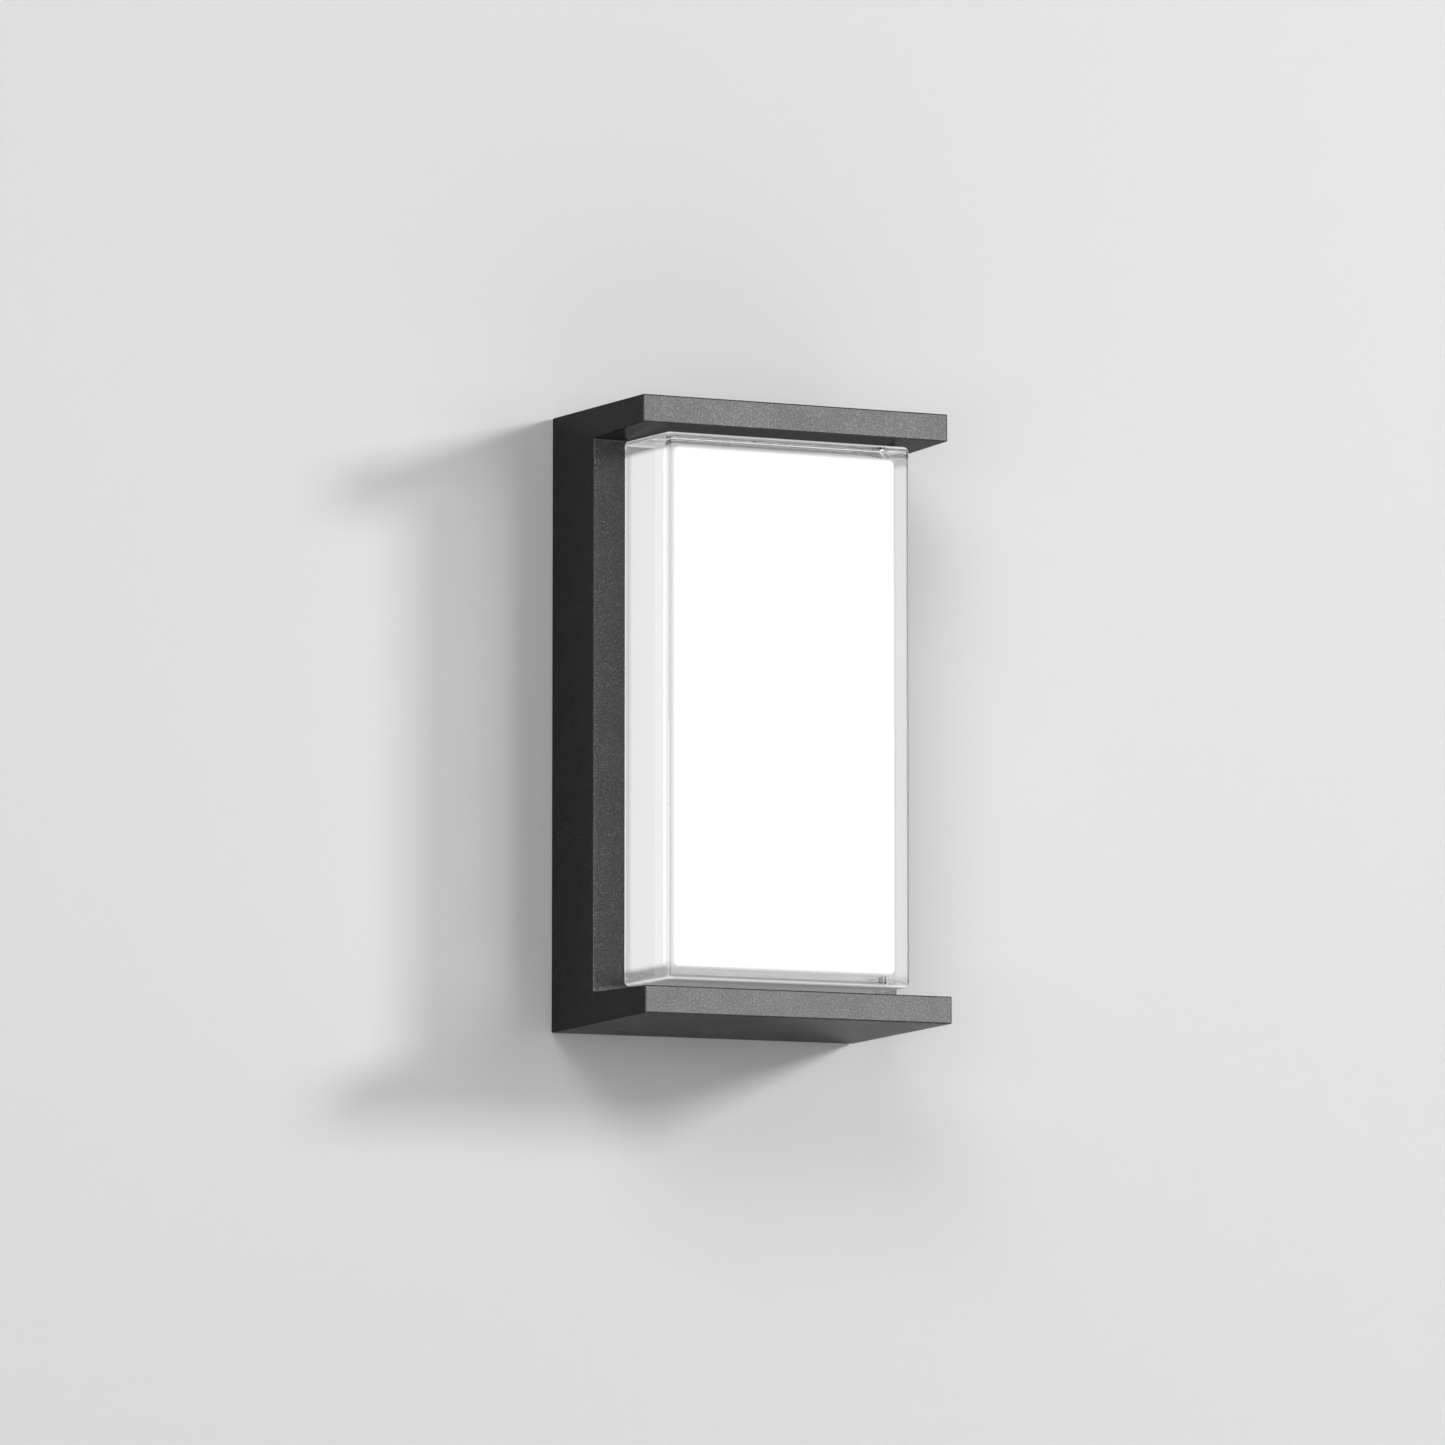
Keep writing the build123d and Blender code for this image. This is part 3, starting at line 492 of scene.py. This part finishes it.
def soft_rubber(name, base, roughness):
    """Rubber or silicone: dull, with fine pores and a dusty bloom."""
    finish = Finish(name, Sheen_Weight=0.15)
    pores = finish.between(finish.cells(width=0.0009), low=0.05, high=0.35)
    bloom = finish.noise(width=0.012, detail=4.0)
    finish.give("Base Color", finish.blend(bloom, tinted(base, 0.85), tinted(base, 1.25)))
    finish.give("Roughness", roughness + bloom.swing(0.12))
    finish.relief(pores, depth=0.00004)
    return finish.material


def wire_insulation(name, base, second=None):
    """Glossy wire insulation, with a second colour along one half where one is given."""
    finish = Finish(name)
    worn = finish.noise(width=0.004, detail=3.0)
    tone = finish.blend(worn, tinted(base, 0.85), tinted(base, 1.12))
    if second is not None:
        tone = finish.blend(finish.axis("X") > 0.0, tone, second)
    finish.give("Base Color", tone)
    finish.give("Roughness", 0.32 + worn * 0.14)
    finish.relief(finish.noise(width=0.0008), depth=0.00001)
    return finish.material


def light_board():
    """White solder mask over copper tracks, which show as faint raised lines across the board."""
    trim = bpy.context.scene.lantern_trim
    finish = Finish("board_white", Coat_Weight=0.2)
    pitch = 0.0065
    ripples = (finish.axis("Z") * (2 * math.pi / pitch)).wave().absolute()
    tracks = finish.between(ripples, low=0.90, high=0.97)
    dust = finish.noise(width=0.01, detail=3.0)
    clean = finish.blend(dust, tinted(trim.board, 0.94), trim.board)
    finish.give("Base Color", finish.blend(tracks * 0.35, clean, tinted(trim.board, 0.78)))
    finish.give("Roughness", 0.35 + dust * 0.15)
    finish.relief(tracks, depth=0.00003)
    return finish.material


def chip_phosphor():
    """Phosphor of the light-emitting chips, cloudy and faintly lit."""
    trim = bpy.context.scene.lantern_trim
    finish = Finish("led_phosphor", Roughness=0.45, Emission_Strength=1.0)
    cloud = finish.noise(width=0.0012, detail=2.0)
    tone = finish.blend(cloud, tinted(trim.phosphor, 0.85), tinted(trim.phosphor, 1.1))
    finish.give("Base Color", tone)
    finish.give("Emission Color", tone)
    return finish.material


def select_faces(piece, test):
    """Leaves a piece in edit mode with only the faces selected that pass a test."""
    bpy.ops.object.mode_set(mode="EDIT")
    bpy.ops.mesh.select_mode(type="FACE")
    bpy.ops.mesh.select_all(action="DESELECT")
    bpy.ops.object.mode_set(mode="OBJECT")
    for face in piece.data.polygons:
        face.select = test(face)
    bpy.ops.object.mode_set(mode="EDIT")


def select_edges(piece, test):
    """Leaves a piece in edit mode with only the edges selected whose two ends pass a test."""
    bpy.ops.object.mode_set(mode="EDIT")
    bpy.ops.mesh.select_mode(type="EDGE")
    bpy.ops.mesh.select_all(action="DESELECT")
    bpy.ops.object.mode_set(mode="OBJECT")
    corners = piece.data.vertices
    for edge in piece.data.edges:
        edge.select = test(*(corners[index].co for index in edge.vertices))
    bpy.ops.object.mode_set(mode="EDIT")


def settle(piece, name):
    """Ends the modelling of a piece: named, at the origin, unturned and unscaled."""
    bpy.ops.object.mode_set(mode="OBJECT")
    bpy.ops.object.transform_apply(location=True, rotation=True, scale=True)
    piece.name = name
    piece.data.name = name
    return piece


def rounded_block(low, high, radius):
    """A block whose top falls towards the front, rounded on every edge except those of its rear."""
    look = bpy.context.scene.lantern_glass
    middle = (low + high) / 2
    bpy.ops.object.select_all(action="DESELECT")
    bpy.ops.mesh.primitive_cube_add(size=1.0, location=middle, scale=high - low)
    block = bpy.context.active_object
    bpy.ops.object.transform_apply(location=True, rotation=True, scale=True)
    select_edges(
        block, lambda start, end: max(start.y, end.y) < middle.y and min(start.z, end.z) > middle.z
    )
    drop = math.tan(look.draft) * (high.y - low.y)
    bpy.ops.transform.translate(value=(0.0, 0.0, -drop))
    select_edges(block, lambda start, end: min(start.y, end.y) < middle.y)
    bpy.ops.mesh.bevel(offset=radius, segments=look.segments, profile=0.5, affect="EDGES")
    bpy.ops.object.mode_set(mode="OBJECT")
    return block


def add_neck(block, rear, end):
    """Rounds the rear edges of a block that ends at one y and adds a narrower neck to another y."""
    look = bpy.context.scene.lantern_glass
    select_edges(block, lambda start, corner: min(start.y, corner.y) > rear - TOUCHING)
    bpy.ops.mesh.bevel(offset=look.seat_radius, segments=SEAT_FACETS, profile=0.5, affect="EDGES")
    select_faces(block, lambda face: face.normal.y > STRAIGHT)
    bpy.ops.mesh.inset(thickness=look.neck_step - look.seat_radius)
    bpy.ops.mesh.extrude_region_move(TRANSFORM_OT_translate={"value": (0.0, end - rear, 0.0)})
    bpy.ops.object.mode_set(mode="OBJECT")


def open_rear(block):
    """Takes the rear face away from a block."""
    rear = max(corner.co.y for corner in block.data.vertices)
    select_faces(block, lambda face: face.normal.y > STRAIGHT and face.center.y > rear - TOUCHING)
    bpy.ops.mesh.delete(type="FACE")
    bpy.ops.object.mode_set(mode="OBJECT")


def hollow(name, outer, inner):
    """A cup, open at the rear: an outer and an inner block joined at their rear rims."""
    open_rear(outer)
    open_rear(inner)
    bpy.ops.object.select_all(action="DESELECT")
    inner.select_set(True)
    outer.select_set(True)
    bpy.context.view_layer.objects.active = outer
    bpy.ops.object.join()
    bpy.ops.object.mode_set(mode="EDIT")
    bpy.ops.mesh.select_mode(type="EDGE")
    bpy.ops.mesh.select_all(action="DESELECT")
    bpy.ops.mesh.select_non_manifold()
    bpy.ops.mesh.bridge_edge_loops()
    bpy.ops.mesh.select_all(action="SELECT")
    bpy.ops.mesh.remove_doubles(threshold=MERGED)
    bpy.ops.mesh.normals_make_consistent(inside=False)
    settle(outer, name)
    bpy.ops.object.shade_smooth_by_angle(angle=GLASS_CREASE)
    bpy.ops.object.modifier_add(type="WEIGHTED_NORMAL")
    outer.modifiers[-1].keep_sharp = True
    bpy.ops.object.modifier_apply(modifier=outer.modifiers[-1].name)
    return outer


def solids_of(node):
    """The boxes of a node's screws, which are told apart by their distance in the wall's plane."""
    reach = 2 * bpy.context.scene.lantern_trim.head_radius
    groups = []
    for corner in frame["nodes"][node].data.vertices:
        point = corner.co
        for group in groups:
            if math.hypot(point.x - group[0].x, point.z - group[0].z) <= reach:
                group.append(point)
                break
        else:
            groups.append([point])
    boxes = []
    for group in groups:
        low = Vector(min(point[axis] for point in group) for axis in range(3))
        high = Vector(max(point[axis] for point in group) for axis in range(3))
        boxes.append((low, high))
    return boxes


def cross_head_screw(low, high, way):
    """A pan-head screw along Y that fills a box; way is 1 if its head looks at the wall, else -1."""
    trim = bpy.context.scene.lantern_trim
    top = high.y if way > 0 else low.y
    middle = Vector(((low.x + high.x) / 2, top - way * trim.head_height / 2, (low.z + high.z) / 2))
    turned = (-way * math.pi / 2, 0.0, 0.0)
    bpy.ops.object.select_all(action="DESELECT")
    bpy.ops.mesh.primitive_cylinder_add(
        vertices=HEAD_FACETS,
        radius=trim.head_radius,
        depth=trim.head_height,
        location=middle,
        rotation=turned,
    )
    screw = bpy.context.active_object
    bpy.ops.object.transform_apply(location=True, rotation=True, scale=True)
    rim = top - way * trim.head_height / 4
    select_edges(screw, lambda start, end: min(way * start.y, way * end.y) > way * rim)
    rounding = trim.head_height * RIM_SHARE
    bpy.ops.mesh.bevel(offset=rounding, segments=RIM_FACETS, profile=0.5, affect="EDGES")
    select_faces(screw, lambda face: way * face.normal.y < -STRAIGHT)
    bpy.ops.mesh.inset(thickness=trim.head_radius - trim.shank_radius)
    shank = Vector((0.0, -way * (high.y - low.y - trim.head_height), 0.0))
    bpy.ops.mesh.extrude_region_move(TRANSFORM_OT_translate={"value": shank})
    bpy.ops.object.mode_set(mode="OBJECT")
    mouth = Vector((middle.x, top, middle.z))
    span, width, depth = trim.recess_span, trim.recess_width, 2 * trim.recess_depth
    for size in (Vector((span, depth, width)), Vector((width, depth, span))):
        cut_bar(screw, mouth, size)
    bpy.ops.object.shade_smooth_by_angle(angle=SCREW_CREASE)
    return screw


def cut_bar(piece, centre, size):
    """Cuts a straight bar out of a piece."""
    bpy.ops.object.select_all(action="DESELECT")
    bpy.ops.mesh.primitive_cube_add(size=1.0, location=centre, scale=size)
    cutter = bpy.context.active_object
    bpy.ops.object.select_all(action="DESELECT")
    piece.select_set(True)
    bpy.context.view_layer.objects.active = piece
    bpy.ops.object.modifier_add(type="BOOLEAN")
    cut = piece.modifiers[-1]
    cut.operation = "DIFFERENCE"
    cut.object = cutter
    bpy.ops.object.modifier_apply(modifier=cut.name)
    bpy.data.objects.remove(cutter)


def screw_set(node, way):
    """The screws of one node as one piece: the first is modelled and the others are its copies."""
    boxes = solids_of(node)
    first = cross_head_screw(*boxes[0], way)
    copies = []
    for low, _high in boxes[1:]:
        bpy.ops.object.select_all(action="DESELECT")
        first.select_set(True)
        bpy.context.view_layer.objects.active = first
        bpy.ops.object.duplicate(linked=False)
        bpy.ops.transform.translate(value=low - boxes[0][0])
        copies.append(bpy.context.active_object)
    bpy.ops.object.select_all(action="DESELECT")
    for copy in copies:
        copy.select_set(True)
    first.select_set(True)
    bpy.context.view_layer.objects.active = first
    if copies:
        bpy.ops.object.join()
    return settle(first, node + "_cross_head")


def wear(piece, material):
    """Gives a piece one material all over."""
    piece.data.materials.clear()
    piece.data.materials.append(material)


def dress(slot, material):
    """Gives the finish of a slot to every node of the model that has it."""
    nodes = [node for node, used in SLOT_OF.items() if used == slot]
    if not nodes:
        raise RuntimeError(f"no node of the model has the slot {slot}")
    for node in nodes:
        wear(frame["nodes"][node], material)


def stand_in(piece, node, material):
    """Lets a new piece stand for a node: it takes its body and its place in the render."""
    wear(piece, material)
    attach(piece, frame["nodes"][node]["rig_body"])
    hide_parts(node)


class LANTERN_OT_casting(bpy.types.Operator):
    """Coat the frame casting"""

    bl_idname = "lantern.casting"
    bl_label = "Coat the Casting"

    def execute(self, context):
        dress("graphite_powder_coat", powder_coat())
        return {"FINISHED"}


class LANTERN_OT_glass(bpy.types.Operator):
    """Model the glass block as a thick cup with rounded edges"""

    bl_idname = "lantern.glass"
    bl_label = "Cast the Glass"

    def execute(self, context):
        look = context.scene.lantern_glass
        outer_high = Vector((GLASS_HIGH.x, -look.seat, GLASS_HIGH.z))
        outer = rounded_block(GLASS_LOW, outer_high, look.edge_radius)
        add_neck(outer, -look.seat, GLASS_HIGH.y)
        rise = math.tan(look.draft) * (GLASS_HIGH.y + look.seat)
        cavity_high = GLASS_HIGH + Vector((-look.wall, 0.0, rise - look.wall))
        inner = rounded_block(GLASS_LOW + Vector((look.wall,) * 3), cavity_high, look.cavity_radius)
        block = hollow("glass_cup", outer, inner)
        stand_in(block, "glass_block", clear_glass())
        block.visible_shadow = False
        return {"FINISHED"}


class LANTERN_OT_liner(bpy.types.Operator):
    """Model the opal liner inside the glass and let it glow"""

    bl_idname = "lantern.liner"
    bl_label = "Mould the Liner"

    def execute(self, context):
        look = context.scene.lantern_glass
        wall = look.liner_wall
        outer = rounded_block(LINER_LOW, LINER_HIGH, look.liner_radius)
        inner_low = LINER_LOW + Vector((wall, wall, wall))
        inner_high = LINER_HIGH - Vector((wall, 0.0, wall))
        inner = rounded_block(inner_low, inner_high, look.liner_radius - wall)
        liner = hollow("liner_cup", outer, inner)
        stand_in(liner, "opal_liner", opal_glow())
        return {"FINISHED"}


class LANTERN_OT_seals(bpy.types.Operator):
    """Finish the seals, cushions and grommets"""

    bl_idname = "lantern.seals"
    bl_label = "Finish the Seals"

    def execute(self, context):
        trim = context.scene.lantern_trim
        dress("seal_rubber", soft_rubber("seal_rubber", trim.rubber, roughness=0.62))
        dress("seal_silicone", soft_rubber("seal_silicone", trim.silicone, roughness=0.48))
        return {"FINISHED"}


class LANTERN_OT_sheets(bpy.types.Operator):
    """Finish the tray, the collar and the wall plate"""

    bl_idname = "lantern.sheets"
    bl_label = "Finish the Sheet Metal"

    def execute(self, context):
        trim = context.scene.lantern_trim
        dress("tray_aluminium", rolled_sheet("tray_aluminium", trim.aluminium, "Z"))
        dress("plate_aluminium", rolled_sheet("plate_aluminium", tinted(trim.aluminium, 0.92), "X"))
        return {"FINISHED"}


class LANTERN_OT_light(bpy.types.Operator):
    """Finish the light board, its chips and its connector"""

    bl_idname = "lantern.light"
    bl_label = "Finish the Light Source"

    def execute(self, context):
        trim = context.scene.lantern_trim
        dress("board_white", light_board())
        dress("led_phosphor", chip_phosphor())
        white = moulded_plastic("connector_white", trim.connector, roughness=0.42, grain=0.0004)
        dress("connector_white", white)
        return {"FINISHED"}


class LANTERN_OT_mains(bpy.types.Operator):
    """Finish the driver, the terminal block, the plug, the buttons and the contacts"""

    bl_idname = "lantern.mains"
    bl_label = "Finish the Mains Parts"

    def execute(self, context):
        trim = context.scene.lantern_trim
        plastics = (
            ("driver_plastic", trim.driver, 0.50, 0.0008),
            ("terminal_plastic", trim.terminal, 0.46, 0.0006),
            ("insulating_sheet", trim.insulator, 0.60, 0.0010),
            ("button_orange", trim.button, 0.36, 0.0004),
        )
        for slot, base, roughness, grain in plastics:
            dress(slot, moulded_plastic(slot, base, roughness, grain))
        dress("brass_contact", plated_metal("brass_contact", trim.brass, roughness=0.28))
        return {"FINISHED"}


class LANTERN_OT_wiring(bpy.types.Operator):
    """Finish the leads on the tray and on the wall plate"""

    bl_idname = "lantern.wiring"
    bl_label = "Finish the Wiring"

    def execute(self, context):
        trim = context.scene.lantern_trim
        dress("lead_brown", wire_insulation("lead_brown", trim.live))
        dress("lead_blue", wire_insulation("lead_blue", trim.neutral))
        dress("lead_earth", wire_insulation("lead_earth", trim.earth_green, trim.earth_yellow))
        dress("lead_red", wire_insulation("lead_red", trim.positive))
        dress("lead_black", wire_insulation("lead_black", trim.negative))
        return {"FINISHED"}


class LANTERN_OT_fasteners(bpy.types.Operator):
    """Model the small screws with cross recesses and finish the studs, nuts and set screws"""

    bl_idname = "lantern.fasteners"
    bl_label = "Fit the Fasteners"

    def execute(self, context):
        trim = context.scene.lantern_trim
        zinc = plated_metal("zinc_steel", trim.zinc, roughness=0.30)
        black = plated_metal("black_steel", trim.black_steel, roughness=0.38, metallic=0.6)
        dress("zinc_steel", zinc)
        dress("black_steel", black)
        heads_at_wall = ("tray_screws", "driver_screws", "plug_screws")
        heads_at_front = ("led_board_screws", "terminal_screws")
        for nodes, way in ((heads_at_wall, 1), (heads_at_front, -1)):
            for node in nodes:
                stand_in(screw_set(node, way), node, zinc)
        return {"FINISHED"}


def backdrop_paint(name, base, shown=None):
    """Dull paint that shows from the front alone and casts no shadow, in an even tone if given one."""
    material = bpy.data.materials.new(name)
    material.use_nodes = True
    draft = NodeDraft(material.node_tree)
    draft.tree.nodes.clear()
    paint = draft.node("ShaderNodeBsdfDiffuse", None, {"Color": base})
    if shown is not None:
        even = draft.node("ShaderNodeEmission", None, {"Color": (shown, shown, shown)})
        paint = draft.mix_shader(draft.ray(*SHOWN_TO), paint, even)
    rear = draft.node("ShaderNodeNewGeometry", take="Backfacing")
    behind = rear.largest(draft.ray("Is Shadow Ray"))
    paint = draft.mix_shader(behind, paint, draft.node("ShaderNodeBsdfTransparent"))
    draft.node("ShaderNodeOutputMaterial", None, {"Surface": paint})
    return material


def sheet(name, size, centre, turned, material):
    """A square of the stage."""
    bpy.ops.object.select_all(action="DESELECT")
    bpy.ops.mesh.primitive_plane_add(size=size, location=centre, rotation=turned)
    square = bpy.context.active_object
    settle(square, name)
    wear(square, material)


def lamp(name, centre, size, power, mirrored=True):
    """A square soft lamp that looks at the middle of the lantern and may show in its gloss."""
    bpy.ops.object.light_add(type="AREA", location=centre)
    light = bpy.context.active_object
    light.name = name
    light.data.size = size
    light.data.energy = power
    aim = (cad_low + cad_high) / 2 - Vector(centre)
    light.rotation_euler = aim.to_track_quat("-Z", "Y").to_euler()
    light.visible_camera = False
    light.visible_glossy = mirrored


class LANTERN_OT_stage(bpy.types.Operator):
    """Set up the wall, the floor, the lamps, the surroundings and the camera"""

    bl_idname = "lantern.stage"
    bl_label = "Set the Stage"

    def execute(self, context):
        scene = context.scene
        look = scene.lantern_stage
        wall_paint = backdrop_paint("wall_paint", look.wall_colour)
        floor_paint = backdrop_paint("floor_paint", look.floor_colour, shown=look.backdrop)
        facing_front = (math.pi / 2, 0.0, 0.0)
        sheet("wall", look.wall_size, (0.0, look.wall_gap, 0.0), facing_front, wall_paint)
        sheet("floor", look.floor_size, (0.0, 0.0, -look.floor_drop), (0.0, 0.0, 0.0), floor_paint)
        lamp("key_lamp", look.key, look.key_size, look.key_power, mirrored=False)
        lamp("softbox_lamp", look.softbox, look.softbox_size, look.softbox_power)
        lamp("fill_lamp", look.fill, look.fill_size, look.fill_power)
        lamp("high_lamp", look.high, look.high_size, look.high_power)
        lamp("rear_lamp", look.rear, look.rear_size, look.rear_power)

        scene.world = bpy.data.worlds.new("surroundings")
        scene.world.use_nodes = True
        draft = NodeDraft(scene.world.node_tree)
        draft.tree.nodes.clear()
        seen = draft.ray(*SHOWN_TO)
        level = look.ambient + seen * (look.backdrop - look.ambient)
        white = {"Color": (1.0, 1.0, 1.0), "Strength": level}
        around = draft.node("ShaderNodeBackground", None, white)
        draft.node("ShaderNodeOutputWorld", None, {"Surface": around})

        turned = (math.pi / 2 + look.pitch, 0.0, -look.yaw)
        bpy.ops.object.camera_add(location=look.camera, rotation=turned)
        scene.camera = context.active_object
        scene.camera.data.lens = look.lens
        scene.camera.data.sensor_width = SENSOR_WIDTH
        scene.camera.data.clip_end = SIGHT
        scene.view_settings.view_transform = "Standard"
        return {"FINISHED"}


class LANTERN_PT_panel(bpy.types.Panel):
    """Sizes, colours and steps of the wall lantern"""

    bl_idname = "LANTERN_PT_panel"
    bl_label = "Wall Lantern"
    bl_space_type = "VIEW_3D"
    bl_region_type = "UI"
    bl_category = "Lantern"

    def draw(self, context):
        for operator in OPERATORS:
            self.layout.operator(operator.bl_idname)
        for group in GROUPS:
            settings = getattr(context.scene, group)
            for name in settings.bl_rna.properties.keys():
                if name not in {"rna_type", "name"}:
                    self.layout.prop(settings, name)


GROUPS = {
    "lantern_coat": LanternCoat,
    "lantern_glass": LanternGlass,
    "lantern_trim": LanternTrim,
    "lantern_stage": LanternStage,
}
OPERATORS = (
    LANTERN_OT_casting,
    LANTERN_OT_glass,
    LANTERN_OT_liner,
    LANTERN_OT_seals,
    LANTERN_OT_sheets,
    LANTERN_OT_light,
    LANTERN_OT_mains,
    LANTERN_OT_wiring,
    LANTERN_OT_fasteners,
    LANTERN_OT_stage,
)


def register():
    for entry in (*GROUPS.values(), *OPERATORS, LANTERN_PT_panel):
        bpy.utils.register_class(entry)
    for name, group in GROUPS.items():
        setattr(bpy.types.Scene, name, PointerProperty(type=group))


def unregister():
    for name in GROUPS:
        delattr(bpy.types.Scene, name)
    for entry in reversed((*GROUPS.values(), *OPERATORS, LANTERN_PT_panel)):
        bpy.utils.unregister_class(entry)


def main():
    register()
    bpy.ops.lantern.casting()
    bpy.ops.lantern.glass()
    bpy.ops.lantern.liner()
    bpy.ops.lantern.seals()
    bpy.ops.lantern.sheets()
    bpy.ops.lantern.light()
    bpy.ops.lantern.mains()
    bpy.ops.lantern.wiring()
    bpy.ops.lantern.fasteners()
    bpy.ops.lantern.stage()


if __name__ == "__main__":
    main()
